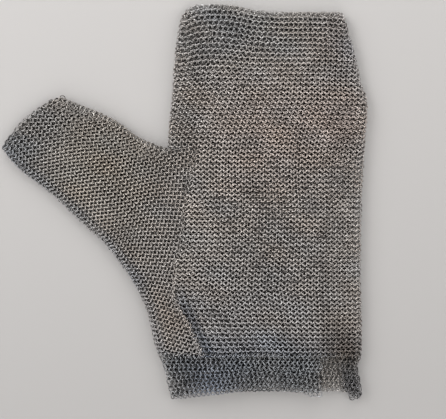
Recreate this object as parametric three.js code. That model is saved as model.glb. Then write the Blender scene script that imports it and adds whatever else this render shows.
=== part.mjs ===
import * as THREE from 'three';

// Ring-mesh glove lying flat, palm up. Millimetres, +Y to the fingertips, +Z up,
// thumb towards -X, origin at the middle of its base.

// --- driving dimensions ---
const RING_OD = 4.0;
const WIRE_D = 0.55;
const RING_LEAN = 28.5;       // degrees the rings lean out of the sheet
const POCKET_H = 5.2;         // room for the hand between the two layers
const WALL_W = 2.4;           // rows of rings that turn round an edge
const JOIN = 0.3;             // gap between neighbouring pieces
const HEM_W = 4.0;            // one row of open rings at the cuff's end
const SEAM_W = 2.6;           // raised row that joins the thumb gusset
const SEAM_RISE = 0.5;

const SHEET_T = (RING_OD - WIRE_D) * Math.sin(RING_LEAN * Math.PI / 180) + WIRE_D;
const FRONT_Z = SHEET_T + POCKET_H;
const TOP_Z = FRONT_Z + SHEET_T;
const INSET = WALL_W + JOIN;

// --- fold lines: a point and the unit normal towards the tip ---
const WRIST = { x: 0, y: -103.5, nx: 0, ny: 1 };
const KNUCKLE = { x: 0, y: 44, nx: 0, ny: 1 };
const FINGER = { x: 0, y: 88, nx: 0, ny: 1 };
const FINGER_END = { x: 0, y: 121, nx: 0, ny: 1 };
const THUMB_ROOT = { x: -21, y: 38.3, nx: -0.674, ny: 0.7387 };
const THUMB_MID = shifted(THUMB_ROOT, 34);
const THUMB_END = shifted(THUMB_ROOT, 59);

// --- outline, counter-clockwise from the cuff's right corner ---
const RIGHT = [[121.4, -137.3], [121.8, -100], [121.4, -19], [122.2, 8], [124.2, 36],
  [126.3, 58], [126.3, 70], [121, 83], [118, 98], [113.9, 113], [109.4, 129.5]];
const TOP = [[107.6, 131], [72, 131.3], [48, 132.8], [34, 135.6], [18.6, 137.3], [7, 136.6],
  [1, 133]];
const LEFT = [[-2, 127], [-4.8, 117], [-7, 100], [-9, 76], [-10.5, 59], [-11.8, 43],
  [-14.5, 37]];
const THUMB_UPPER = [[-21, 38.3], [-30.4, 42.8], [-37.3, 48], [-43.5, 53], [-53, 59],
  [-66, 65.3], [-76, 71]];
const THUMB_TIP = [[-83.5, 73.1], [-93.2, 69.8], [-107, 58.6], [-122.8, 43], [-126.3, 35.9]];
const THUMB_LOWER = [[-124.2, 31.4], [-113, 20.4], [-97, 9], [-78, -7], [-55, -29], [-38, -51],
  [-26, -73], [-20, -100], [-12.5, -117.5], [-8.3, -133.6]];
const SEAM = [[0, -2], [-2, -19], [-8.3, -65], [0.7, -81.5], [11.3, -104.5]];

// --- cuff ends ---
const FRONT_HEM = [[-5.6, -133.6], [9.7, -133.4], [42, -129], [80, -129.6], [86, -133.2],
  [91.5, -132.6]];
const BACK_HEM = [[-5.6, -133.6], [20, -131.6], [90, -129.6], [118.4, -131]];
const SLIT_LEFT = 91.5;
const SLIT_RIGHT = 110.4;

// --- materials ---
const STEEL = 0x8f8983;
const STEEL_EDGE = 0xa39e98;
const STEEL_CUFF = 0x6f7275;
const STEEL_BACK = 0x85807b;

function shifted(line, by) {
  return { ...line, x: line.x + line.nx * by, y: line.y + line.ny * by };
}

function along(line) {
  return [line.ny, -line.nx];
}

function height(line, p) {
  return (p[0] - line.x) * line.nx + (p[1] - line.y) * line.ny;
}

// The stretch of an open chain on one side of a line, cut exactly at the line.
function keep(chain, line, side, gap = JOIN / 2) {
  const out = [];
  const s = chain.map((p) => side * height(line, p) - gap);
  chain.forEach((p, i) => {
    if (i > 0 && (s[i - 1] > 0) !== (s[i] > 0)) {
      const k = s[i - 1] / (s[i - 1] - s[i]);
      const q = chain[i - 1];
      out.push([q[0] + (p[0] - q[0]) * k, q[1] + (p[1] - q[1]) * k]);
    }
    if (s[i] > 0) out.push(p);
  });
  return out;
}

// Points moved inwards (to the left of travel); its ends slide along the given lines.
function inset(chain, d, first, last) {
  const normals = chain.slice(1).map((p, i) => {
    const dx = p[0] - chain[i][0];
    const dy = p[1] - chain[i][1];
    const l = Math.hypot(dx, dy);
    return [-dy / l, dx / l];
  });
  const slide = (n, line) => {
    if (!line) return n;
    const a = along(line);
    const k = a[0] * n[0] + a[1] * n[1];
    return [a[0] / k, a[1] / k];
  };
  return chain.map((p, i) => {
    let m;
    if (i === 0) m = slide(normals[0], first);
    else if (i === chain.length - 1) m = slide(normals[i - 1], last);
    else {
      const [a, b] = [normals[i - 1], normals[i]];
      const k = 1 + a[0] * b[0] + a[1] * b[1];
      m = [(a[0] + b[0]) / k, (a[1] + b[1]) / k];
    }
    return [p[0] + m[0] * d, p[1] + m[1] * d];
  });
}

function body(positions, index) {
  const g = new THREE.BufferGeometry();
  g.setAttribute('position', new THREE.Float32BufferAttribute(positions.flat(), 3));
  g.setIndex(index);
  g.computeVertexNormals();
  return g;
}

// A flat plate from a counter-clockwise polygon.
function plate(points, z0, z1) {
  const contour = points.map((p) => new THREE.Vector2(p[0], p[1]));
  const flip = THREE.ShapeUtils.area(contour) < 0;
  const faces = THREE.ShapeUtils.triangulateShape(contour, []);
  const n = points.length;
  const pos = [...points.map((p) => [p[0], p[1], z0]), ...points.map((p) => [p[0], p[1], z1])];
  const index = [];
  for (const [a, b, c] of faces) {
    const v = (contour[b].x - contour[a].x) * (contour[c].y - contour[a].y)
      - (contour[b].y - contour[a].y) * (contour[c].x - contour[a].x);
    if (v > 0) index.push(a + n, b + n, c + n, c, b, a);
    else index.push(c + n, b + n, a + n, a, b, c);
  }
  for (let i = 0; i < n; i += 1) {
    const j = (i + 1) % n;
    if (flip) index.push(j, i, i + n, j, i + n, j + n);
    else index.push(i, j, j + n, i, j + n, i + n);
  }
  return body(pos, index);
}

// The rounded wall that joins the two layers, swept along an outline chain.
function wall(chain, first, last) {
  const bulge = [[1, 0], [0.45, 0.05], [0.1, 0.18], [0, 0.36], [0, 0.64], [0.1, 0.82],
    [0.45, 0.95], [1, 1]];
  const rings = bulge.map(([d, z]) => inset(chain, d * WALL_W, first, last)
    .map((p) => [p[0], p[1], z * TOP_Z]));
  const m = bulge.length;
  const pos = [];
  for (let i = 0; i < chain.length; i += 1) {
    for (let k = 0; k < m; k += 1) pos.push(rings[k][i]);
  }
  const index = [];
  for (let i = 0; i + 1 < chain.length; i += 1) {
    for (let k = 0; k < m; k += 1) {
      const a = i * m + k;
      const b = i * m + ((k + 1) % m);
      index.push(a, a + m, b + m, a, b + m, b);
    }
  }
  const end = (chain.length - 1) * m;
  for (let k = 1; k + 1 < m; k += 1) {
    index.push(0, k, k + 1);
    index.push(end, end + k + 1, end + k);
  }
  return body(pos, index);
}

function build() {
  const glove = new THREE.Group();
  glove.name = 'ring_mesh_glove';
  const add = (name, geometry, color) => {
    const material = new THREE.MeshStandardMaterial({ color, metalness: 0.9, roughness: 0.42 });
    material.name = `${name}_steel`;
    const mesh = new THREE.Mesh(geometry, material);
    mesh.name = name;
    glove.add(mesh);
  };
  const front = (name, pts, color = STEEL) => add(name, plate(pts, FRONT_Z, TOP_Z), color);
  const back = (name, pts, color = STEEL_BACK) => add(name, plate(pts, 0, SHEET_T), color);
  const edge = (name, chain, first, last, color = STEEL_EDGE) => {
    add(name, wall(chain, first, last), color);
  };
  const range = (chain, lower, upper) => keep(keep(chain, lower, 1), upper, -1);

  // palm, between the wrist, knuckle and thumb-root folds
  const palmRight = range(RIGHT, WRIST, KNUCKLE);
  const crotch = keep(keep([...LEFT, ...THUMB_UPPER], KNUCKLE, -1), THUMB_ROOT, -1);
  const palmLower = keep(keep(THUMB_LOWER, THUMB_ROOT, -1), WRIST, 1);
  const inRight = inset(palmRight, INSET, WRIST, KNUCKLE);
  const inCrotch = inset(crotch, INSET, KNUCKLE, THUMB_ROOT);
  const inLower = inset(palmLower, INSET, THUMB_ROOT, WRIST);
  const seam = keep([inCrotch[inCrotch.length - 2], ...SEAM], WRIST, 1);
  const seamLeft = inset(seam, -SEAM_W / 2, null, WRIST);
  const seamRight = inset(seam, SEAM_W / 2, null, WRIST);
  const panelLeft = inset(seam, -SEAM_W / 2 - JOIN, null, WRIST);
  const panelRight = inset(seam, SEAM_W / 2 + JOIN, null, WRIST);
  front('palm_front_sheet', [...inRight, inCrotch[0], ...panelRight]);
  front('thumb_gusset_front_sheet', [inCrotch[inCrotch.length - 1], ...inLower,
    ...panelLeft.reverse()]);
  add('thumb_gusset_seam_row', plate([...seamLeft, ...seamRight.reverse()],
    FRONT_Z, TOP_Z + SEAM_RISE), STEEL_EDGE);
  back('palm_back_sheet', [...inRight, ...inCrotch, ...inLower]);
  edge('palm_right_side_wall', palmRight, WRIST, KNUCKLE);
  edge('thumb_crotch_wall', crotch, KNUCKLE, THUMB_ROOT);
  edge('palm_left_side_wall', palmLower, THUMB_ROOT, WRIST);

  // finger pocket, lower half
  const baseRight = range(RIGHT, KNUCKLE, FINGER);
  const baseLeft = range(LEFT, KNUCKLE, FINGER);
  const baseSheet = [...inset(baseRight, INSET, KNUCKLE, FINGER),
    ...inset(baseLeft, INSET, FINGER, KNUCKLE)];
  front('finger_base_front_sheet', baseSheet);
  back('finger_base_back_sheet', baseSheet);
  edge('finger_base_right_wall', baseRight, KNUCKLE, FINGER);
  edge('finger_base_left_wall', baseLeft, FINGER, KNUCKLE);

  // finger pocket, tip half
  const tip = keep([...RIGHT, ...TOP, ...LEFT], FINGER, 1);
  const tipSheet = inset(tip, INSET, FINGER, FINGER);
  front('finger_tip_front_sheet', tipSheet);
  back('finger_tip_back_sheet', tipSheet);
  edge('finger_tip_right_wall', range(RIGHT, FINGER, FINGER_END), FINGER, FINGER_END);
  edge('finger_tip_closing_row', keep(tip, FINGER_END, 1), FINGER_END, FINGER_END);
  edge('finger_tip_left_wall', range(LEFT, FINGER, FINGER_END), FINGER_END, FINGER);

  // thumb stall, lower half
  const stallUpper = range(THUMB_UPPER, THUMB_ROOT, THUMB_MID);
  const stallLower = range(THUMB_LOWER, THUMB_ROOT, THUMB_MID);
  const stallSheet = [...inset(stallUpper, INSET, THUMB_ROOT, THUMB_MID),
    ...inset(stallLower, INSET, THUMB_MID, THUMB_ROOT)];
  front('thumb_base_front_sheet', stallSheet);
  back('thumb_base_back_sheet', stallSheet);
  edge('thumb_base_upper_wall', stallUpper, THUMB_ROOT, THUMB_MID);
  edge('thumb_base_lower_wall', stallLower, THUMB_MID, THUMB_ROOT);

  // thumb stall, tip half
  const thumbTip = keep([...THUMB_UPPER, ...THUMB_TIP, ...THUMB_LOWER], THUMB_MID, 1);
  const thumbSheet = inset(thumbTip, INSET, THUMB_MID, THUMB_MID);
  front('thumb_tip_front_sheet', thumbSheet);
  back('thumb_tip_back_sheet', thumbSheet);
  edge('thumb_tip_upper_wall', range([...THUMB_UPPER, ...THUMB_TIP.slice(0, 1)], THUMB_MID,
    THUMB_END), THUMB_MID, THUMB_END);
  edge('thumb_tip_closing_row', keep(thumbTip, THUMB_END, 1), THUMB_END, THUMB_END);
  edge('thumb_tip_lower_wall', range(THUMB_LOWER, THUMB_MID, THUMB_END), THUMB_END, THUMB_MID);

  // cuff band with its open ring rows, and the slit in the front layer
  const cuffTop = WRIST.y - JOIN / 2;
  const cuffLeft = keep(THUMB_LOWER, WRIST, -1);
  const cuffRight = keep(RIGHT, WRIST, -1);
  const inLeft = inset(cuffLeft, INSET, WRIST, null);
  const rightIn = RIGHT[0][0] - INSET;
  const raised = (hem, by) => hem.map((p) => [p[0], p[1] + by]);
  const band = (hem, right) => [...raised(hem, HEM_W + JOIN), [right, cuffTop],
    inLeft[0], inLeft[1]];
  const openRow = (hem) => [...hem, ...raised(hem, HEM_W).reverse()];
  front('cuff_front_band', band(FRONT_HEM, SLIT_LEFT), STEEL_CUFF);
  front('cuff_front_open_row', openRow(FRONT_HEM), STEEL_EDGE);
  back('cuff_back_band', band(BACK_HEM, rightIn), STEEL_CUFF);
  back('cuff_back_open_row', openRow(BACK_HEM), STEEL_EDGE);
  edge('cuff_left_wall', cuffLeft, WRIST, null, STEEL_CUFF);
  edge('cuff_right_wall', cuffRight, null, WRIST, STEEL_CUFF);
  front('cuff_slit_flap', [[SLIT_RIGHT, -136.6], [rightIn - 0.3, -136.6],
    [rightIn - 0.3, cuffTop], [SLIT_RIGHT, cuffTop]], STEEL_CUFF);

  return glove;
}

export default build();
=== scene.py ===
"""Ring-mesh glove: every ring of both layers, laid out on the bodies of the glove."""
import math

import bpy
import numpy as np
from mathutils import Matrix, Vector
from mathutils.kdtree import KDTree


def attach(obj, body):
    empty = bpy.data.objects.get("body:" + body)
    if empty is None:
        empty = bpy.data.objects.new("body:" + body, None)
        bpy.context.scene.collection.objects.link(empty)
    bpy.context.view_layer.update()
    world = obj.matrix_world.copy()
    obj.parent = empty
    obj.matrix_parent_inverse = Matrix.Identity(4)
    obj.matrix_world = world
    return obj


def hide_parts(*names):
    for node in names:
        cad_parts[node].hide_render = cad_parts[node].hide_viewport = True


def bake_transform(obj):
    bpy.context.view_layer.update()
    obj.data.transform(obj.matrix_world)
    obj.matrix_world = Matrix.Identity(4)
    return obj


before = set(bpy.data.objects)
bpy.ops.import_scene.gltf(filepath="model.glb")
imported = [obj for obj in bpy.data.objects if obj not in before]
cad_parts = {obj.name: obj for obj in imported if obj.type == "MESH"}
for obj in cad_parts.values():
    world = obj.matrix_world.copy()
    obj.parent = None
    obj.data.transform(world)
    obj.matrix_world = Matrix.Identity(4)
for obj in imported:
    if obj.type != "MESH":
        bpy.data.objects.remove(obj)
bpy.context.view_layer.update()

# --- rings and layers, in millimetres ---
RING_OD = 4.15
WIRE_D = 0.68
RING_R = (RING_OD - WIRE_D) / 2     # to the middle of the wire
WIRE_R = WIRE_D / 2
LEAN = math.radians(34)
HALF_HEIGHT = RING_R * math.sin(LEAN) + WIRE_R
RING_STEPS = 14                     # points round a ring
WIRE_STEPS = 6                      # points round its wire
SKIN = 1.25                         # half the height of one leaning layer
BACK_Z = 1.70                       # middle of the layer that lies on the table
EDGE_R = 1.9                        # radius of the turn from layer to layer
TURN = math.pi * EDGE_R             # length of that turn
PILLOW = 3.2                        # how much higher the palm side stands inside
PILLOW_REACH = 24.0                 # over this distance from the edge
CREASE = 0.55                       # height of its soft creases
CLOSE_OVER = 9.0                    # the layers close over this length at a tip
CLOSED = 0.02                       # least share of the turn left at a tip, squared
NEAR = 0.4                          # step for the differences that give a surface's axes
RNG = np.random.default_rng(41)

# --- how far the rings stray from their places ---
DRIFT = 0.35                        # slow wander of whole areas
DRIFT_SIZE = 38
STRAY = 0.09                        # of one ring
TWIST = math.radians(4)
ROLL = math.radians(5)
LOOSE_CUFF, LOOSE_FLAP = 1.7, 3.0   # times more in the cuff and its flap
FOLD_WIDTH = 21.0                   # soft folds across palm and fingers
FOLD_TIP = math.radians(6)
FOLD_SHADE = 0.06
TIGHT_PAIRING = 0.1                 # the middle of the palm is drawn tight
TIGHT_LEAN = math.radians(4)
EASED_PAIRING = 0.28                # and the rows near cuff and fingertips are eased

# --- painted shade and painted highlight on the wire, for each cloth ---
DEEP_PAINTED_SHADE = {"body": 0.32, "thumb": 0.5, "cuff": 0.25}   # painted shade: how dark the wire is deep down in the mesh
INSIDE_PAINTED_SHADE = {"body": 0.22, "thumb": 0.4, "cuff": 0.2}  # painted shade: how dark it is on the inner side
PAINTED_LIGHT_LOW = -1.0                      # heights between which the painted highlight brightens the wire
PAINTED_LIGHT_HIGH = {"body": 0.0, "thumb": -0.1, "cuff": -0.1}
# painted shade and painted highlight for the seam rings
SEAM_DEEP_PAINTED_SHADE, SEAM_INSIDE_PAINTED_SHADE, SEAM_PAINTED_LIGHT_HIGH = 0.15, 0.12, -0.3

# --- relaxation ---
RELAX_ROUNDS = 14
RELAX_STEPS = 20                    # points round a ring for finding contacts
RELAX_PUSH = 0.45                   # share of an overlap undone in one round
RELAX_BATCH = 8000                  # pairs looked at together
SLIDE = 0.6                         # most that a contact slides, in half steps of those points
MOVE_SHARE = 0.6                    # of the summed pushes that moves a ring
HOMING = 0.04                       # pull back to where a ring started
MAX_MOVE = 0.15                     # in one round
MAX_TURN = math.radians(6)

# --- outline of the glove, shared with the frame ---
RIGHT = np.array([[121.4, -137.3], [121.8, -100], [121.4, -19], [122.2, 8], [124.2, 36],
                  [126.3, 58], [126.3, 70], [121, 83], [118, 98], [113.9, 113],
                  [109.4, 129.5]])
TOP = np.array([[107.6, 131], [72, 131.3], [48, 132.8], [34, 135.6], [18.6, 137.3],
                [7, 136.6], [1, 133]])
LEFT = np.array([[-2, 127], [-4.8, 117], [-7, 100], [-9, 76], [-10.5, 59], [-11.8, 43],
                 [-14.5, 37]])
THUMB_UPPER = np.array([[-21, 38.3], [-30.4, 42.8], [-37.3, 48], [-43.5, 53], [-53, 59],
                        [-66, 65.3], [-76, 71]])
THUMB_TIP = np.array([[-83.5, 73.1], [-93.2, 69.8], [-107, 58.6], [-122.8, 43],
                      [-126.3, 35.9]])
THUMB_LOWER = np.array([[-124.2, 31.4], [-113, 20.4], [-97, 9], [-78, -7], [-55, -29],
                        [-38, -51], [-26, -73], [-20, -100], [-12.5, -117.5],
                        [-8.3, -133.6]])
OUTLINE = np.vstack([RIGHT, TOP, LEFT, THUMB_UPPER, THUMB_TIP, THUMB_LOWER])

# --- fold lines of the frame: a point and the direction towards the tip ---
WRIST_Y = -103.5
CUFF_TOP = -106.8
CUFF_BOTTOM = -128.6
KNUCKLE_Y = 44.0
FINGER_Y = 88.0
THUMB_ROOT = np.array([-21.0, 38.3])
THUMB_DIR = np.array([-0.674, 0.7387])
THUMB_MID = 34.0

# the join between palm mesh and thumb mesh, from the crotch down to the cuff
SEAM = np.array([[8.3, 38], [3.4, 15.2], [0, -2.1], [-2, -19.3], [-6.2, -43.5],
                 [-8.3, -65.5], [0.7, -81.4], [10.4, -102], [13.5, -112]])
CROTCH_Y = 37.6
SEAM_GAP = 0.9                      # from the seam's middle to the first ring of each mesh


def smooth(t):
    t = np.clip(t, 0.0, 1.0)
    return t * t * (3 - 2 * t)


def at(value, keys, results):
    """Linear interpolation with keys in any order."""
    keys = np.asarray(keys, float)
    order = np.argsort(keys)
    return np.interp(value, keys[order], np.asarray(results, float)[order])


def to_polyline(x, y, line):
    """Distance from points to an open polyline, and which side they are on (left is +)."""
    p = np.stack([np.ravel(x), np.ravel(y)], -1)
    best = np.full(len(p), 1e9)
    side = np.zeros(len(p))
    for a, b in zip(line[:-1], line[1:]):
        d = b - a
        t = np.clip(((p - a) @ d) / (d @ d), 0, 1)
        off = p - (a + t[:, None] * d)
        dist = np.hypot(off[:, 0], off[:, 1])
        cross = d[0] * (p[:, 1] - a[1]) - d[1] * (p[:, 0] - a[0])
        near = dist < best - 1e-9
        best = np.where(near, dist, best)
        side = np.where(near, np.sign(cross), side)
    return best.reshape(np.shape(x)), side.reshape(np.shape(x))


def beyond_seam(x, y):
    """How far a point is to the palm's side of the seam, or above the crotch."""
    across = x - at(y, SEAM[:, 1], SEAM[:, 0])
    over = np.where(x > -13.5, y - CROTCH_Y, -99.0)
    return np.maximum(across, over)


def waves(x, y, seed, size):
    """A slow, smooth field between about -1 and 1."""
    rng = np.random.default_rng(seed)
    total = 0.0
    for _ in range(5):
        angle, phase = rng.uniform(0, 2 * math.pi, 2)
        k = 2 * math.pi / (size * rng.uniform(0.7, 1.5))
        total = total + np.sin(k * (x * math.cos(angle) + y * math.sin(angle)) + phase)
    return total / 3.0


def front_z(x, y):
    """Height of the middle of the palm-side layer."""
    dist, _ = to_polyline(x, y, OUTLINE)
    lift = PILLOW * smooth((dist - SKIN - EDGE_R) / PILLOW_REACH)
    crease = CREASE * waves(x, y, 7, 46) * smooth(dist / 12.0)
    return BACK_Z + 2 * EDGE_R + lift + crease


def closing_at(to_tip):
    """Share of the full turn that is left at a distance from a closed tip."""
    rounded = 1 - (1 - np.clip(to_tip / CLOSE_OVER, 0, 1)) ** 2
    return np.sqrt(np.clip(rounded, CLOSED, 1))


def parts_of_tube(arc, width, turn):
    """Which points of a tube lie on its palm side, right turn and back."""
    on_front = arc < width
    on_right = ~on_front & (arc < width + turn)
    on_back = ~on_front & ~on_right & (arc < 2 * width + turn)
    return [on_front, on_right, on_back]


def measured(line):
    """Lengths of a polyline's legs, and how far each of its points lies along it."""
    legs = np.hypot(*np.diff(line, axis=0).T)
    return legs, np.concatenate([[0], np.cumsum(legs)])


# --- the palm and finger mesh: one tube of rings, rows across the hand ---
BODY_COLUMNS = 31                   # rings across one side
BODY_LOOP = 2 * BODY_COLUMNS + 3    # rings in a row: both sides and the two turns
BODY_TOP = 130.4
BODY_TIP = 131.8                    # where its two layers meet
BODY_BOTTOM = -104.6
ROW_Y = [-105, -60, 0, 60, 95, 110, 130]
ROW_PITCH = [1.64, 1.64, 1.72, 1.64, 1.66, 1.80, 1.85]
HUMP_FROM = 131.0                   # the hump of the fingertip edge is measured from here
BOW = 2.0                           # columns in the middle swing right towards the tip
SPREAD = 0.1                        # columns in the middle of the palm stand wider apart
PAIRING = 0.13                      # rows that meet on the outside draw together by twice this
SIDE_X = (RIGHT[:, 1], RIGHT[:, 0])
# the tube's left side: the glove's own edge over the fingers, hidden under the seam below
TUBE_Y = [133, 127, 117, 100, 76, 59, 43, 30, 15, -2, -26, -60, -81, -104, -115]
TUBE_X = [1, -2, -4.8, -7, -9, -10.5, -11.8, -11.5, -10, -8, -9, -14, -6, 5, 9]


def body_span(v):
    return (at(v, TUBE_Y, TUBE_X) + SKIN + EDGE_R, at(v, *SIDE_X) - SKIN - EDGE_R)


def body_point(s, v):
    """A point of the tube: s goes once round it from 0 to 1, v up the hand."""
    left, right = body_span(v)
    width = right - left
    closing = closing_at(BODY_TIP - v)
    r = EDGE_R * closing
    turn = math.pi * r
    arc = np.mod(s, 1.0) * (2 * width + 2 * turn)
    spread = SPREAD * smooth((40 - v) / 60) * smooth((v + 110) / 40)
    tf = np.clip(arc / width, 0, 1)
    tb = np.clip((arc - width - turn) / width, 0, 1)
    warp = lambda t: t - spread * np.sin(2 * math.pi * t) / (2 * math.pi)
    bow = BOW * smooth((v - 48) / 70) * np.sin(math.pi * tf) ** 2
    xf = left + width * warp(tf) + bow
    xb = right - width * warp(tb)
    a1 = (arc - width) / r
    a2 = (arc - 2 * width - turn) / r
    places = parts_of_tube(arc, width, turn)
    x = np.select(places, [xf, right + r * np.sin(a1), xb], left - r * np.sin(a2))
    hump = at(x, TOP[:, 0], TOP[:, 1]) - HUMP_FROM
    y = v + hump * smooth((v - 70) / 62)
    top = front_z(x, y)
    top = BACK_Z + 2 * r + (top - BACK_Z - 2 * EDGE_R) * closing
    z = np.select(places, [top, BACK_Z + r + r * np.cos(a1), BACK_Z + 0 * x],
                  BACK_Z + r - r * np.cos(a2))
    return np.stack([x, y, z], -1)


def frame_of(point, s, v, ds, dv):
    """Row direction, cross direction and outward normal of a surface, by differences."""
    p = point(s, v)
    eu = point(s + ds, v) - point(s - ds, v)
    ev = point(s, v + dv) - point(s, v - dv)
    eu /= np.linalg.norm(eu, axis=-1, keepdims=True) + 1e-12
    n = np.cross(eu, ev)
    n /= np.linalg.norm(n, axis=-1, keepdims=True) + 1e-12
    ev = np.cross(n, eu)
    return p, eu, ev, n


def row_lines(low, high, keys, pitch):
    """Row positions from low to high with a pitch that varies along the way."""
    rows = [low]
    while rows[-1] < high:
        rows.append(rows[-1] + float(at(rows[-1], keys, pitch)))
    return np.array(rows[:-1])


class Rings:
    """Rings collected before they become pieces."""

    def __init__(self):
        self.parts = []

    def add(self, cloth, p, eu, ev, n, lean, layer, row):
        """Layer is 1 on the palm side and 0 on the back; row orders the rings of a piece."""
        count = len(p)
        full = lambda a: np.broadcast_to(np.asarray(a, float), (count,)).copy()
        self.parts.append({
            "cloth": np.full(count, cloth), "p": p, "eu": eu, "ev": ev, "n": n,
            "lean": full(lean), "layer": full(layer), "row": full(row)})

    def all(self):
        return {k: np.concatenate([q[k] for q in self.parts]) for k in self.parts[0]}


rings = Rings()

# shift of the columns, in rings, that makes them lean as they run up the hand
LEAN_Y = [-105, -60, 20, 40, 60, 95, 112, 131]
LEAN_SLOPE = [0.10, 0.0, 0.0, 0.14, 0.27, 0.28, 0.22, 0.15]
LEAN_RINGS = 4.1                    # millimetres to a ring for that slope
grid = np.arange(-110, 140, 1.0)
drift_at = np.cumsum(at(grid, LEAN_Y, LEAN_SLOPE)) / LEAN_RINGS

for j, v in enumerate(row_lines(BODY_BOTTOM, BODY_TOP, ROW_Y, ROW_PITCH)):
    left, right = body_span(v)
    width = right - left
    loop = 2 * width + 2 * TURN
    s = (np.arange(BODY_LOOP) + 0.5 * (j % 2) + float(at(v, grid, drift_at))) / BODY_LOOP
    v_row = np.full(BODY_LOOP, v + (PAIRING if j % 2 else -PAIRING))
    p, eu, ev, n = frame_of(body_point, s, v_row, 0.25 / BODY_LOOP, NEAR)
    arc = np.mod(s, 1) * loop
    layer = np.where((arc < width + TURN / 2) | (arc > loop - TURN / 2), 1.0, 0.0)
    keep = beyond_seam(p[:, 0], p[:, 1]) > SEAM_GAP
    lean = LEAN * (1 if j % 2 else -1)
    rings.add("body", p[keep], eu[keep], ev[keep], n[keep], lean, layer[keep], j)

# --- the thumb mesh: rows run from the lower edge to the upper edge, crotch or seam ---
# each pair: where a row starts on the lower edge and where it ends
ROW_START = np.array([[-126.3, 35.9], [-113.2, 20.7], [-97.3, 9.7], [-84.2, -1.4],
                      [-66.9, -18.6], [-55.9, -28.3], [-46.2, -40.7], [-35.2, -55.9],
                      [-26.2, -74.5], [-22.4, -93.2], [-17.5, -109],
                      [-12.5, -122]])
ROW_END = np.array([[-86.3, 72.5], [-66.2, 64.9], [-46.2, 55.9], [-33.1, 44.9],
                    [-11.7, 35.9], [8.3, 38.0], [1.4, -2.1], [-1.4, -29.7],
                    [-8.3, -65.5], [1.4, -82.8], [12.4, -97], [18, -109]])
heading = ROW_END - ROW_START
heading /= np.linalg.norm(heading, axis=1, keepdims=True)
step = []
for k in range(len(ROW_START) - 1):
    mid = heading[k] + heading[k + 1]
    sideways = np.array([mid[1], -mid[0]]) / np.linalg.norm(mid)
    move = (ROW_START[k + 1] - ROW_START[k] + ROW_END[k + 1] - ROW_END[k]) / 2
    step.append(float(move @ sideways))
ROW_T = np.concatenate([[0], np.cumsum(step)])
STALL_T = float(ROW_T[4])           # rows before this one close round the thumb
THUMB_TIP_T = -1.2                  # where its two layers meet
THUMB_PITCH = 4.12                  # rings along a row
THUMB_ROW_T = [0, 45, 100, 180]
THUMB_ROW_PITCH = [1.46, 1.52, 1.6, 1.6]
TIP_BULGE = 5.8                     # the thumb's end is rounded by this much


def thumb_ends(t):
    """The two ends of the row at t, with the corners between the pairs eased."""
    inner = smooth(np.minimum(t, ROW_T[-1] - t) / 8.0)[..., None]
    ends = []
    for line in (ROW_START, ROW_END):
        place = lambda u: np.stack([at(u, ROW_T, line[:, 0]), at(u, ROW_T, line[:, 1])], -1)
        shifts = (-6, -3, 0, 3, 6)
        eased = sum(place(t + shift) for shift in shifts) / len(shifts)
        ends.append(eased * inner + place(t) * (1 - inner))
    return ends


def thumb_point(s, t):
    """s is the arc length from the middle of the lower turn, + on the palm side."""
    a, b = thumb_ends(t)
    d = b - a
    width = np.linalg.norm(d, axis=-1)
    d = d / width[..., None]
    closing = closing_at(t - THUMB_TIP_T)
    r = EDGE_R * closing
    arc = np.abs(s)
    turn = np.minimum(arc / r, math.pi / 2)
    q = np.where(arc < r * math.pi / 2, SKIN + r - r * np.cos(turn),
                 SKIN + r + arc - r * math.pi / 2)
    rise = np.where(arc < r * math.pi / 2, np.sin(turn), 1.0)
    far = width - SKIN - r
    a2 = np.clip((q - far) / r, 0, math.pi / 2)
    closed = (q > far) & (t < STALL_T + 4)
    q = np.where(closed, far + r * np.sin(a2), q)
    rise = np.where(closed, np.cos(a2), rise)
    xy = a + d * q[..., None]
    bulge = TIP_BULGE * np.clip(1 - t / 45, 0, 1) * np.sin(math.pi * np.clip(q / width, 0, 1))
    xy = xy + np.stack([-d[..., 1], d[..., 0]], -1) * bulge[..., None]
    pillow = (front_z(xy[..., 0], xy[..., 1]) - BACK_Z - 2 * EDGE_R) * closing
    z = BACK_Z + r + np.where(s >= 0, r + pillow, -r) * rise
    return np.concatenate([xy, z[..., None]], -1)


for j, t in enumerate(row_lines(1.2, float(ROW_T[-1]), THUMB_ROW_T, THUMB_ROW_PITCH)):
    a, b = thumb_ends(np.array([t]))
    width = float(np.linalg.norm(b - a))
    half = width - 2 * (SKIN + EDGE_R) + TURN
    odd = j % 2
    if t < STALL_T:
        n_col = int(round(half / THUMB_PITCH))
        s = (np.arange(0, n_col + 1 - odd) + 0.5 * odd) * THUMB_PITCH
        ease = 5 * THUMB_PITCH
        s = s + (half - n_col * THUMB_PITCH) * smooth((s - half + ease) / ease)
        back = -s[(s > 1e-6) & (s < half - 0.2)]
    else:
        n_col = int(width / THUMB_PITCH) + 4
        s = (np.arange(0, n_col) + 0.5 * odd) * THUMB_PITCH
        back = -s[s > 1e-6]
    s = np.concatenate([s, back])
    t_row = np.full(len(s), t)
    p, eu, ev, n = frame_of(thumb_point, s, t_row, NEAR, NEAR)
    keep = (beyond_seam(p[:, 0], p[:, 1]) < -SEAM_GAP) & (p[:, 1] > CUFF_TOP + 1.6)
    lean = LEAN * (1 if odd else -1)
    rings.add("thumb", p[keep], eu[keep], ev[keep], n[keep], lean,
              (s >= -1e-6).astype(float)[keep], j)

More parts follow.
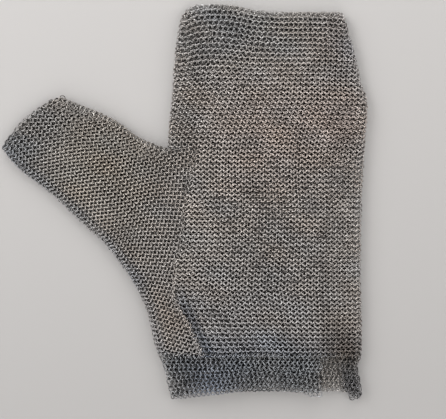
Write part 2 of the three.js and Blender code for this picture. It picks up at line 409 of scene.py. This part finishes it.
# --- the cuff: a tighter band of its own, slit on the palm side ---
CUFF_ROWS = 164                     # upright rows round the cuff
CUFF_PITCH = 4.16                   # rings up one row
CUFF_COUNT = 6                      # of them
PINCH = 2.4                         # the right edge draws in above the corner
SLIT_LEFT = np.array([[94.4, -100], [94.6, -107.6], [92.8, -118], [92.5, -131.1],
                      [92.5, -140]])
SLIT_RIGHT = np.array([[105.0, -100], [105.6, -112], [108.5, -124], [111.4, -131],
                       [114.5, -136], [116, -140]])
HEM_FRONT = np.array([[-9, -136.2], [9.7, -133.8], [42, -129], [80, -129.8], [86, -133.2],
                      [92, -133.6], [105, -132], [112, -135.2], [121.4, -136.6]])
HEM_BACK = np.array([[-9, -135.6], [20, -131.6], [90, -131.6], [108, -132], [114, -133],
                     [121.4, -136.6]])
LOW_EDGE = THUMB_LOWER[5:]


def cuff_point(s, v):
    left = at(v, LOW_EDGE[:, 1], LOW_EDGE[:, 0]) + SKIN + EDGE_R
    right = at(v, *SIDE_X) - SKIN - EDGE_R - PINCH * np.exp(-((v + 113) / 5) ** 2)
    width = right - left
    arc = np.mod(s, 1.0) * (2 * width + 2 * TURN)
    a1 = (arc - width) / EDGE_R
    a2 = (arc - 2 * width - TURN) / EDGE_R
    places = parts_of_tube(arc, width, TURN)
    x = np.select(places, [left + arc, right + EDGE_R * np.sin(a1), right + width + TURN - arc],
                  left - EDGE_R * np.sin(a2))
    low = np.where(places[2], at(x, HEM_BACK[:, 0], HEM_BACK[:, 1]),
                   at(x, HEM_FRONT[:, 0], HEM_FRONT[:, 1]))
    y = v + (low + 2.1 - CUFF_BOTTOM) * smooth((CUFF_TOP - v) / (CUFF_TOP - CUFF_BOTTOM))
    top = front_z(x, y)
    z = np.select(places, [top, BACK_Z + EDGE_R * (1 + np.cos(a1)), BACK_Z + 0 * x],
                  BACK_Z + EDGE_R * (1 - np.cos(a2)))
    return np.stack([x, y, z], -1)


for j in range(CUFF_ROWS):
    v = CUFF_BOTTOM + CUFF_PITCH * (np.arange(CUFF_COUNT) + 0.5 * (j % 2))
    s = np.full(len(v), j / CUFF_ROWS)
    p, eu, ev, n = frame_of(cuff_point, s, v, 0.25 / CUFF_ROWS, NEAR)
    front = p[:, 2] > BACK_Z + EDGE_R
    _, right_of_left = to_polyline(p[:, 0], p[:, 1], SLIT_LEFT)
    _, left_of_right = to_polyline(p[:, 0], p[:, 1], SLIT_RIGHT)
    keep = ~(front & (right_of_left > 0) & (left_of_right < 0))
    lean = LEAN * (1 if j % 2 else -1)
    rings.add("cuff", p[keep], ev[keep], -eu[keep], n[keep], lean, front[keep],
              np.arange(len(v))[keep])

# --- the seam: a row of joining rings, raised where it runs down to the cuff ---
SEAM_PITCH = 2.15
SEAM_SUNK = -0.35                   # height at the crotch, from the middle of the layer
SEAM_RISE = 1.25                    # how much higher it stands near the cuff
SEAM_WIDTH = 0.55                   # its rings lie this far to either side
SEAM_LEAN = 1.1 * LEAN
_, run = measured(SEAM)
spots = np.arange(2.0, run[-1] - 8.0, SEAM_PITCH)
seam_x, seam_y = at(spots, run, SEAM[:, 0]), at(spots, run, SEAM[:, 1])
along_x = at(spots + 3, run, SEAM[:, 0]) - at(spots - 3, run, SEAM[:, 0])
along_y = at(spots + 3, run, SEAM[:, 1]) - at(spots - 3, run, SEAM[:, 1])
tangent = np.stack([along_x, along_y, 0 * spots], -1)
tangent /= np.linalg.norm(tangent, axis=1, keepdims=True)
up = np.tile([0.0, 0.0, 1.0], (len(spots), 1))
raised = SEAM_SUNK + SEAM_RISE * smooth((-50 - seam_y) / 15)
middle = np.stack([seam_x, seam_y, front_z(seam_x, seam_y) + raised], -1)
side = np.where(np.arange(len(spots)) % 2, 1.0, -1.0)
middle[:, :2] += SEAM_WIDTH * side[:, None] * np.stack([tangent[:, 1], -tangent[:, 0]], -1)
rings.add("seam", middle, tangent, np.cross(up, tangent), up, SEAM_LEAN * side, 1.0,
          np.arange(len(spots)))

# --- loose loops along the closed tips ---
FRINGE_PITCH = 2.1
FRINGE_LEAN = 0.6 * LEAN
FRINGE_ROW, STRAY_ROW = 900, 901    # they come last in their pieces


def fringe(cloth, line, inset):
    """Loops side by side along a line, their middles moved in from it."""
    legs, run = measured(line)
    spots = np.arange(1.5, run[-1] - 1.5, FRINGE_PITCH)
    ways = np.diff(line, axis=0) / legs[:, None]
    way = ways[np.clip(np.searchsorted(run, spots) - 1, 0, len(ways) - 1)]
    way = np.stack([way[:, 0], way[:, 1], 0 * spots], -1)
    up = np.tile([0.0, 0.0, 1.0], (len(spots), 1))
    inward = np.cross(up, way)
    odd = np.arange(len(spots)) % 2
    middle = np.stack([at(spots, run, line[:, 0]), at(spots, run, line[:, 1]),
                       BACK_Z + EDGE_R + 0.5 * odd], -1)
    middle = middle + inward * (inset + 0.5 * odd)[:, None]
    rings.add(cloth, middle, way, inward, up, FRINGE_LEAN * (2 * odd - 1), 1.0, FRINGE_ROW)


fringe("body", TOP, 2.4)
fringe("thumb", THUMB_TIP, 1.3)

# one ring that came loose from the slit's corner, and one left open at the slit's top
for spot in ((115.2, -135.6, BACK_Z), (96.4, -106.7, BACK_Z + 2 * EDGE_R + 1.2)):
    x_way, y_way, z_way = np.eye(3)[:, None]
    rings.add("cuff", np.array([spot]), x_way, y_way, z_way, 0.1, 1.0, STRAY_ROW)

# --- let the rings stray a little from their places, and tip them ---
R = rings.all()
# a ring needs three whole axes; one that falls in a fold of its surface has none
sound = np.all([np.linalg.norm(R[key], axis=1) > 0.9 for key in ("eu", "ev", "n")], axis=0)
R = {key: value[sound] for key, value in R.items()}
rings_n = len(R["p"])
px, py = R["p"][:, 0], R["p"][:, 1]     # they follow the rings until the relaxation
thumb_h = (np.stack([px, py], -1) - THUMB_ROOT) @ THUMB_DIR
front = R["layer"] > 0.5
body, thumb, cuff, seam = (R["cloth"] == c for c in ("body", "thumb", "cuff", "seam"))


def for_cloth(shares, other):
    """One value for each ring, by the cloth it belongs to."""
    return np.select([R["cloth"] == c for c in shares], list(shares.values()), other)


def turned(a, b, angle):
    """Axes a and b turned in their own plane."""
    c, s = np.cos(angle)[:, None], np.sin(angle)[:, None]
    return a * c + b * s, b * c - a * s


R["p"][:, :2] += DRIFT * np.stack([waves(px, py, 3, DRIFT_SIZE),
                                   waves(px, py, 4, DRIFT_SIZE)], -1)
loose = np.select([cuff & (px > 103), cuff], [LOOSE_FLAP, LOOSE_CUFF], 1.0)
R["p"] += RNG.normal(0, STRAY, (rings_n, 3)) * [1, 1, 0.6] * loose[:, None]
# the middle of the palm is drawn tight, so its rows pair up and stand steeper
tight = np.exp(-((px - 62) / 52) ** 2 - ((py + 12) / 60) ** 2) * body
# near the cuff and the fingertips the rows spread evenly and the holes are round
eased = (smooth((-55 - py) / 30) + smooth((py - 80) / 25)) * body
together = (TIGHT_PAIRING * tight - EASED_PAIRING * eased) * np.sign(R["lean"])
R["p"] += R["ev"] * together[:, None]
lean = R["lean"] + TIGHT_LEAN * tight * np.sign(R["lean"])
lean += RNG.normal(0, TWIST, rings_n) * loose
yaw = RNG.normal(0, TWIST, rings_n) * loose
roll = ROLL + RNG.normal(0, TWIST, rings_n) * loose
# soft folds run up the palm to the right, and the rings tip with them
fold = np.sin(2 * math.pi * (0.6 * px - 0.8 * py + 5 * waves(px, py, 21, 70)) / FOLD_WIDTH)
fold *= body * smooth((py + 60) / 60)
roll += FOLD_TIP * fold
eu, ev, n = R["eu"], R["ev"], R["n"]
# how much painted shade and painted highlight each ring gets
R["deep_shade"] = for_cloth(DEEP_PAINTED_SHADE, SEAM_DEEP_PAINTED_SHADE)
R["high"] = for_cloth(PAINTED_LIGHT_HIGH, SEAM_PAINTED_LIGHT_HIGH)
R["inside_shade"] = for_cloth(INSIDE_PAINTED_SHADE, SEAM_INSIDE_PAINTED_SHADE)
R["out"] = np.where(thumb[:, None], -n, n)  # the thumb's rows are laid inside out
ev, n = turned(ev, n, lean)
eu, ev = turned(eu, ev, yaw)
eu, n = turned(eu, n, roll)
R["eu"], R["ev"] = eu, ev


# --- relaxation: wires that cut into each other push their rings apart ---
def near_pairs(centres, reach):
    """Pairs of rings whose centres are closer than reach, as two lists of numbers."""
    tree = KDTree(len(centres))
    for index, centre in enumerate(centres):
        tree.insert(centre, index)
    tree.balance()
    found = [(i, j) for i, centre in enumerate(centres)
             for _, j, _ in tree.find_range(centre, reach) if j > i]
    return np.array(found).T


def ring_points(centres, u, v, angle):
    """One point on the middle of each wire, at its own angle."""
    return centres + RING_R * (np.cos(angle)[:, None] * u + np.sin(angle)[:, None] * v)


def closest_angles(i, j, centres, u, v):
    """Angles on rings i and j where their wires come closest."""
    a = np.arange(RELAX_STEPS) * 2 * math.pi / RELAX_STEPS
    around = (np.cos(a)[None, :, None] * u[:, None] + np.sin(a)[None, :, None] * v[:, None])
    loops = (centres[:, None] + RING_R * around).astype(np.float32)
    best = np.empty(len(i), int)
    for start in range(0, len(i), RELAX_BATCH):
        part = slice(start, start + RELAX_BATCH)
        gap = loops[i[part]][:, :, None] - loops[j[part]][:, None]
        best[part] = np.einsum("nabc,nabc->nab", gap, gap).reshape(len(gap), -1).argmin(1)
    ai, aj = a[best // RELAX_STEPS], a[best % RELAX_STEPS]
    limit = SLIDE * RING_R * math.pi / RELAX_STEPS
    for _ in range(3):
        pi, pj = ring_points(centres[i], u[i], v[i], ai), ring_points(centres[j], u[j], v[j], aj)
        ti = np.cos(ai)[:, None] * v[i] - np.sin(ai)[:, None] * u[i]
        tj = np.cos(aj)[:, None] * v[j] - np.sin(aj)[:, None] * u[j]
        w = pj - pi
        b, d, e = (ti * tj).sum(1), (ti * w).sum(1), (tj * w).sum(1)
        det = np.maximum(1 - b * b, 0.15)
        ai = ai + np.clip((d - b * e) / det, -limit, limit) / RING_R
        aj = aj + np.clip((b * d - e) / det, -limit, limit) / RING_R
    return ai, aj


def capped(vectors, most):
    """Vectors made no longer than a limit."""
    length = np.linalg.norm(vectors, axis=1, keepdims=True)
    return vectors * np.minimum(1, most / np.maximum(length, 1e-9))


def summed(i, j, vectors, count):
    """Each ring's total of what its pairs do: added for i and taken away for j."""
    gained = [np.bincount(i, part, count) for part in vectors[0].T]
    lost = [np.bincount(j, part, count) for part in vectors[1].T]
    return np.stack([a - b for a, b in zip(gained, lost)], -1)


def relaxed(centres, u, v):
    """Rings moved and turned a little, so that their wires cut into each other less."""
    home = centres.copy()
    i, j = near_pairs(centres, 2 * RING_R + WIRE_D)
    for _ in range(RELAX_ROUNDS):
        ai, aj = closest_angles(i, j, centres, u, v)
        pi, pj = ring_points(centres[i], u[i], v[i], ai), ring_points(centres[j], u[j], v[j], aj)
        gap = pi - pj
        dist = np.linalg.norm(gap, axis=1)
        push = RELAX_PUSH * np.maximum(WIRE_D - dist, 0) / 2
        force = gap / np.maximum(dist, 1e-6)[:, None] * push[:, None]
        spins = np.cross(pi - centres[i], force), np.cross(pj - centres[j], force)
        move = summed(i, j, (force, force), len(centres))
        turn = summed(i, j, spins, len(centres)) / RING_R ** 2
        move, turn = capped(MOVE_SHARE * move, MAX_MOVE), capped(turn, MAX_TURN)
        centres = centres + move + (home - centres) * HOMING
        u = u + np.cross(turn, u)
        v = v + np.cross(turn, v)
        u /= np.linalg.norm(u, axis=1, keepdims=True)
        v -= (u * v).sum(1, keepdims=True) * u
        v /= np.linalg.norm(v, axis=1, keepdims=True)
    return centres, u, v


R["p"], R["eu"], R["ev"] = relaxed(R["p"], R["eu"], R["ev"])

# --- meshes of rings ---
RING_POINTS = RING_STEPS * WIRE_STEPS


def ring_faces(count):
    """Corner numbers of the faces of so many rings, one ring after another."""
    i = np.arange(RING_STEPS)[:, None]
    m = np.arange(WIRE_STEPS)[None, :]
    i2, m2 = (i + 1) % RING_STEPS, (m + 1) % WIRE_STEPS
    quad = np.stack([i * WIRE_STEPS + m, i2 * WIRE_STEPS + m, i2 * WIRE_STEPS + m2,
                     i * WIRE_STEPS + m2], -1).reshape(-1, 4)
    return (quad[None] + (np.arange(count) * RING_POINTS)[:, None, None]).reshape(-1, 4)


def ring_mesh(name, pick):
    """One object with a closed round wire for each picked ring, and its colours with painted
    shade and painted highlight.
    """
    each = lambda key: R[key][pick][:, None, None]
    c, u, w = (R[key][pick] for key in ("p", "eu", "ev"))
    k = np.cross(u, w)[:, None, None]
    a = np.arange(RING_STEPS) * 2 * math.pi / RING_STEPS
    b = np.arange(WIRE_STEPS) * 2 * math.pi / WIRE_STEPS
    ways = u[:, None] * np.cos(a)[None, :, None] + w[:, None] * np.sin(a)[None, :, None]
    ways = ways[:, :, None]
    cos_b, sin_b = np.cos(b)[None, None, :, None], np.sin(b)[None, None, :, None]
    pts = c[:, None, None] + ways * (RING_R + WIRE_R * cos_b) + k * (WIRE_R * sin_b)
    quads = ring_faces(len(c))
    me = bpy.data.meshes.new(name)
    me.vertices.add(len(c) * RING_POINTS)
    me.vertices.foreach_set("co", (pts.reshape(-1, 3) * 0.001).astype(np.float32).ravel())
    me.loops.add(quads.size)
    me.loops.foreach_set("vertex_index", quads.astype(np.int32).ravel())
    me.polygons.add(len(quads))
    me.polygons.foreach_set("loop_start", np.arange(0, quads.size, 4, dtype=np.int32))
    me.polygons.foreach_set("use_smooth", np.ones(len(quads), bool))
    me.update(calc_edges=True)
    # painted highlight on the outside of the mesh, painted shade down in it and on the inner
    # side
    outward = each("out")
    height = ((pts - c[:, None, None]) * outward).sum(-1) / HALF_HEIGHT
    facing = ((ways * cos_b + k * sin_b) * outward).sum(-1)
    high, deep_shade, inside_shade, in_view = (each(key) for key in ("high", "deep_shade", "inside_shade", "in_view"))
    painted_light = deep_shade + (1 - deep_shade) * smooth((height - PAINTED_LIGHT_LOW) / (high - PAINTED_LIGHT_LOW))
    painted_light *= inside_shade + (1 - inside_shade) * smooth(facing + 0.85)
    painted_light = painted_light * (1 - in_view) + in_view
    tint_and_painted_light = each("tint_and_painted_light") * painted_light[..., None]
    colours = np.concatenate([tint_and_painted_light.reshape(-1, 3), np.ones((tint_and_painted_light.size // 3, 1))], -1)
    # the colour attribute holds the ring tones times the painted shade and painted highlight
    layer = me.color_attributes.new("tint_and_painted_light", "FLOAT_COLOR", "POINT")
    layer.data.foreach_set("color", colours.astype(np.float32).ravel())
    ob = bpy.data.objects.new(name, me)
    bpy.context.scene.collection.objects.link(ob)
    return ob


# --- colour of each ring: warm grey steel with tarnished and brighter places, and painted shade and light across folds and in a crease ---
TINTS = [  # x, y, reach, red, green, blue
    (20, 118, 16, 0.84, 0.88, 0.93), (58, 45, 30, 1.07, 1.0, 0.97),
    (107, 56, 16, 1.05, 0.98, 0.96), (104, 112, 13, 0.90, 0.86, 0.84),
    (122, 110, 14, 0.90, 0.97, 1.08), (-8, 48, 12, 0.84, 0.84, 0.84),
    (2, -76, 12, 0.85, 0.88, 0.92), (-12, -80, 14, 1.0, 0.93, 0.86),
    (108, -104, 10, 0.72, 0.68, 0.64), (115, -126, 9, 0.62, 0.59, 0.59),
    (50, -88, 34, 0.84, 0.87, 0.91), (-60, 22, 30, 1.06, 1.04, 0.98),
    (-112, 44, 20, 0.82, 0.87, 0.93), (50, 118, 20, 0.90, 0.93, 0.95),
    (112, -96, 13, 0.86, 0.81, 0.77), (18, -125, 14, 0.92, 0.97, 1.08),
]
CUFF_TINT = (0.62, 0.67, 0.72)
STRIP_TINT = (0.60, 0.65, 0.72)     # a dull bluish strip beside the lower seam
RIM_TINT = (0.80, 0.85, 0.92)       # the thumb's lower edge
LOW_TINT = (0.80, 0.84, 0.90)       # the palm just above the cuff
STEEL_TINT = np.array([1.0, 0.95, 0.91])
STEEL_BASE = 0.55
SLIT_TINT = np.array([1.0, 0.99, 0.97])
SLIT_POWER = 0.3                    # evens out the tints inside the slit


def tinted(colour, amount):
    """Factors that lead from white to a colour by an amount for each ring."""
    return 1 + (np.array(colour) - 1) * amount[:, None]


def brightened(pick, factor):
    return np.where(pick, factor, 1.0)[:, None]


tint_and_painted_light = np.ones((rings_n, 3))
for x0, y0, reach, *colour in TINTS:
    tint_and_painted_light *= tinted(colour, np.exp(-((px - x0) ** 2 + (py - y0) ** 2) / (2 * reach ** 2)))
tint_and_painted_light *= tinted(CUFF_TINT, smooth((WRIST_Y + 3 - py) / 7.0))
tint_and_painted_light *= (1 + 0.07 * waves(px, py, 11, 22) + RNG.normal(0, 0.07, rings_n))[:, None]
tint_and_painted_light *= 1 + np.array([0.022, 0.0, -0.022]) * waves(px, py, 12, 26)[:, None]
beside = px - at(py, SEAM[:, 1], SEAM[:, 0])
strip = smooth(beside / 1.5) * smooth((11 - beside) / 5) * smooth((-50 - py) / 30)
tint_and_painted_light *= tinted(STRIP_TINT, strip * body)
tint_and_painted_light *= brightened(seam & (py < -55), 1.2)
tint_and_painted_light *= brightened(thumb, 0.92)
rim, _ = to_polyline(px, py, THUMB_LOWER)
tint_and_painted_light *= tinted(RIM_TINT, smooth((11 - rim) / 9) * thumb)
tint_and_painted_light *= brightened(seam & (py > -50), 0.72)
tint_and_painted_light *= tinted(LOW_TINT, smooth((-84 - py) / 16) * smooth((px - 10) / 8) * body)
# painted light and painted shade across the soft folds
tint_and_painted_light *= (1 + FOLD_SHADE * fold)[:, None]
tint_and_painted_light *= brightened(body, 1.05)
# painted shade in a crease down the right of the palm
crease = np.exp(-((px - 98 - 3 * np.sin(py / 30)) / 2.2) ** 2) * smooth((45 - py) / 30)
tint_and_painted_light *= (1 - 0.22 * crease * body)[:, None]
# the back layer is in plain view inside the slit, so it gets no painted shade and no painted
# highlight there
in_slit = ~front & (px > 93) & (px < 110) & (py < -106)
R["in_view"] = np.where(in_slit, 1.0, 0.0)
tint_and_painted_light = np.where(in_slit[:, None], SLIT_TINT * tint_and_painted_light ** SLIT_POWER, tint_and_painted_light)
R["tint_and_painted_light"] = STEEL_BASE * STEEL_TINT * tint_and_painted_light


def shader_of(name):
    """A new material, with its nodes, its links and its main shader."""
    mat = bpy.data.materials.new(name)
    mat.use_nodes = True
    return mat, mat.node_tree.nodes, mat.node_tree.links, mat.node_tree.nodes["Principled BSDF"]


def set_stop(stop, position, colour):
    stop.position, stop.color = position, (*colour, 1)


def steel(name):
    """Polished steel wire with fine tarnish, times the colour kept for each point, which holds
    painted shade and painted highlight.
    """
    mat, nodes, links, bsdf = shader_of(name)
    bsdf.inputs["Metallic"].default_value = 1.0
    bsdf.inputs["Roughness"].default_value = 0.27
    attr = nodes.new("ShaderNodeAttribute")
    attr.attribute_name = "tint_and_painted_light"
    coord = nodes.new("ShaderNodeTexCoord")
    noise = nodes.new("ShaderNodeTexNoise")
    noise.inputs["Scale"].default_value = 900
    noise.inputs["Detail"].default_value = 3
    ramp = nodes.new("ShaderNodeValToRGB")
    set_stop(ramp.color_ramp.elements[0], 0.32, (0.55, 0.52, 0.50))
    set_stop(ramp.color_ramp.elements[1], 0.62, (1, 1, 1))
    mix = nodes.new("ShaderNodeMix")
    mix.data_type = "RGBA"
    mix.blend_type = "MULTIPLY"
    mix.inputs["Factor"].default_value = 1.0
    links.new(coord.outputs["Object"], noise.inputs["Vector"])
    links.new(noise.outputs["Fac"], ramp.inputs["Fac"])
    links.new(attr.outputs["Color"], mix.inputs[6])
    links.new(ramp.outputs["Color"], mix.inputs[7])
    links.new(mix.outputs[2], bsdf.inputs["Base Color"])
    return mat


STEEL = steel("ring_steel")

# --- pieces: which rings ride on which body; a piece over a bend is left unattached in world space ---
WRIST_ZONE = (-94.5, -112.5)
KNUCKLE_ZONE = (38.0, 66.0)
FINGER_ZONE = (76.0, 104.0)
ROOT_ZONE = (-5.0, 18.0)
MID_ZONE = (22.0, 46.0)
MAX_RINGS = 1100                    # in one piece
MID_X, MID_Z = 0.055, 0.005         # a point near the middle of the folds, in metres


def across(zone):
    """Where a bend across the hand starts and ends."""
    return tuple((MID_X, y * 0.001, MID_Z) for y in zone)


def along_thumb(zone):
    """Where a bend of the thumb starts and ends."""
    return tuple((*((THUMB_ROOT + THUMB_DIR * h) * 0.001), MID_Z) for h in zone)


def between(value, zone):
    return (value >= zone[0]) & (value < zone[1])


above_wrist = py > WRIST_ZONE[0]
flap = cuff & front & (px > 103) & (py < -105)
low_cuff = cuff & (py <= WRIST_ZONE[1])
stall = thumb & (thumb_h > ROOT_ZONE[0])
FLAP_ENDS = ((0.1215, -0.12, 0.007), (0.1155, -0.12, 0.007))
GROUPS = [  # name, rings, body, body on the other side of a bend, ends of the bend
    ("cuff_mesh", low_cuff & ~flap, "cuff", None, None),
    ("slit_flap_mesh", flap, "cuff", "slit_flap", FLAP_ENDS),
    ("wrist_mesh", ~above_wrist & ~low_cuff & ~flap, "palm", "cuff", across(WRIST_ZONE)),
    ("palm_mesh", body & above_wrist & (py < KNUCKLE_ZONE[0]), "palm", None, None),
    ("thumb_gusset_mesh", thumb & above_wrist & ~stall, "palm", None, None),
    ("thumb_seam_rings", seam & above_wrist, "palm", None, None),
    ("knuckle_mesh", body & between(py, KNUCKLE_ZONE), "palm", "finger_base",
     across(KNUCKLE_ZONE)),
    ("finger_base_mesh", body & between(py, (KNUCKLE_ZONE[1], FINGER_ZONE[0])),
     "finger_base", None, None),
    ("finger_bend_mesh", body & between(py, FINGER_ZONE), "finger_base", "finger_tip",
     across(FINGER_ZONE)),
    ("finger_tip_mesh", body & (py >= FINGER_ZONE[1]), "finger_tip", None, None),
    ("thumb_root_mesh", stall & (thumb_h < ROOT_ZONE[1]), "palm", "thumb_base",
     along_thumb(ROOT_ZONE)),
    ("thumb_base_mesh", stall & between(thumb_h, (ROOT_ZONE[1], MID_ZONE[0])),
     "thumb_base", None, None),
    ("thumb_bend_mesh", stall & between(thumb_h, MID_ZONE), "thumb_base", "thumb_tip",
     along_thumb(MID_ZONE)),
    ("thumb_tip_mesh", stall & (thumb_h >= MID_ZONE[1]), "thumb_tip", None, None),
]


used = np.zeros(rings_n, bool)
for name, pick, first, second, ends in GROUPS:
    used |= pick
    for side, side_name in ((front, "front"), (~front, "back")):
        index = np.flatnonzero(pick & side)
        if not len(index):
            continue
        index = index[np.argsort(R["row"][index], kind="stable")]
        chunks = np.array_split(index, max(1, math.ceil(len(index) / MAX_RINGS)))
        for k, chunk in enumerate(chunks):
            label = f"{name}_{side_name}" + (f"_{k + 1}" if len(chunks) > 1 else "")
            ob = ring_mesh(label, chunk)
            ob.data.materials.append(STEEL)
            if second:
                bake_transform(ob)
            else:
                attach(ob, first)
assert used.all(), "a ring belongs to no piece"

# which piece stands for each CAD node, by how the node's name starts; the loop works out that
# piece's label, leaves it unused, and hides the CAD node
OWNERS = {
    "palm": "palm_mesh", "thumb_crotch_wall": "palm_mesh", "thumb_gusset": "thumb_gusset_mesh",
    "cuff_slit_flap": "slit_flap_mesh", "cuff": "cuff_mesh", "finger_base": "finger_base_mesh",
    "finger_tip": "finger_tip_mesh", "thumb_base": "thumb_base_mesh",
    "thumb_tip": "thumb_tip_mesh",
}
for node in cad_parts:
    owner = next(mesh for start, mesh in OWNERS.items() if node.startswith(start))
    on_back = "_back" in node and owner != "slit_flap_mesh"
    label = owner + ("_back" if on_back else "_front")
    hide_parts(node)

# --- floor, light and camera ---
WORLD, KEY, FLOOR = 1.85, 10, 0.485
FLOOR_SIZE = 60
FLOOR_Z = -0.0004                   # just under the lowest rings
FLOOR_TINT = np.array([1, 0.974, 0.962])
bpy.ops.mesh.primitive_plane_add(size=FLOOR_SIZE, location=(0, 0, FLOOR_Z))
floor = bpy.context.object
floor.name = "floor"
floor_mat, nodes, links, bsdf = shader_of("pale_floor")
# painted light: the floor is painted brighter towards +y and darker towards -y
place = nodes.new("ShaderNodeTexCoord")
split = nodes.new("ShaderNodeSeparateXYZ")
painted_light_falloff = nodes.new("ShaderNodeMapRange")
painted_light_falloff.inputs["From Min"].default_value = -0.15
painted_light_falloff.inputs["From Max"].default_value = 0.15
ramp = nodes.new("ShaderNodeValToRGB")
for stop, shade in zip(ramp.color_ramp.elements, (0.87, 1.06)):
    set_stop(stop, stop.position, shade * FLOOR * FLOOR_TINT)
links.new(place.outputs["Object"], split.inputs["Vector"])
links.new(split.outputs["Y"], painted_light_falloff.inputs["Value"])
links.new(painted_light_falloff.outputs["Result"], ramp.inputs["Fac"])
links.new(ramp.outputs["Color"], bsdf.inputs["Base Color"])
bsdf.inputs["Roughness"].default_value = 0.8
floor.data.materials.append(floor_mat)

world = bpy.data.worlds.new("studio")
bpy.context.scene.world = world
world.use_nodes = True
nodes, links = world.node_tree.nodes, world.node_tree.links
background = nodes["Background"].inputs
where = nodes.new("ShaderNodeTexCoord")
split = nodes.new("ShaderNodeSeparateXYZ")
ramp = nodes.new("ShaderNodeValToRGB")
links.new(where.outputs["Generated"], split.inputs["Vector"])
links.new(split.outputs["Z"], ramp.inputs["Fac"])
links.new(ramp.outputs["Color"], background["Color"])
stops = ramp.color_ramp.elements
set_stop(stops[0], 0.15, (0.25, 0.25, 0.26))
set_stop(stops[1], 1.0, (0.2, 0.2, 0.2))
for height, grey in ((0.35, 1.0), (0.70, 0.9), (0.88, 0.3)):
    set_stop(stops.new(height), height, (grey, grey * 0.99, grey * 0.975))


def sky_math(operation, first, second):
    node = nodes.new("ShaderNodeMath")
    node.operation = operation
    links.new(first, node.inputs[0])
    links.new(second, node.inputs[1])
    return node.outputs[0]


# the light comes from four sides: left, right, top and bottom
x_sq = sky_math("MULTIPLY", split.outputs["X"], split.outputs["X"])
y_sq = sky_math("MULTIPLY", split.outputs["Y"], split.outputs["Y"])
lobe = sky_math("DIVIDE", sky_math("SUBTRACT", x_sq, y_sq), sky_math("ADD", x_sq, y_sq))
gain = nodes.new("ShaderNodeMapRange")
gain.inputs["From Min"].default_value = 0.2
gain.inputs["To Min"].default_value = 0.05 * WORLD
gain.inputs["To Max"].default_value = 2.0 * WORLD
links.new(sky_math("MULTIPLY", lobe, lobe), gain.inputs["Value"])
# near the horizon the lobes fade into an even pale band
rise = nodes.new("ShaderNodeMapRange")
rise.interpolation_type = "SMOOTHSTEP"
rise.inputs["From Min"].default_value = 0.03
rise.inputs["From Max"].default_value = 0.18
links.new(split.outputs["Z"], rise.inputs["Value"])
strength = nodes.new("ShaderNodeMix")
strength.inputs["A"].default_value = 1.4 * WORLD
links.new(rise.outputs["Result"], strength.inputs["Factor"])
links.new(gain.outputs["Result"], strength.inputs["B"])
links.new(strength.outputs["Result"], background["Strength"])
bpy.context.scene.view_settings.view_transform = "Standard"


def area_light(name, position, size, energy, target=(0.03, 0, 0)):
    data = bpy.data.lights.new(name, "AREA")
    data.shape = "DISK"
    data.size = size
    data.energy = energy
    ob = bpy.data.objects.new(name, data)
    bpy.context.scene.collection.objects.link(ob)
    ob.location = position
    way = Vector(target) - Vector(position)
    ob.rotation_euler = way.to_track_quat("-Z", "Y").to_euler()


area_light("key", (-1.1, 0.75, 0.85), 0.8, KEY)

CAMERA_PLACE = (0.0262, -0.0052, 0.517)
cam_data = bpy.data.cameras.new("camera")
cam_data.lens = 60
cam_data.sensor_width = 36
camera = bpy.data.objects.new("camera", cam_data)
bpy.context.scene.collection.objects.link(camera)
camera.location = CAMERA_PLACE
bpy.context.scene.camera = camera
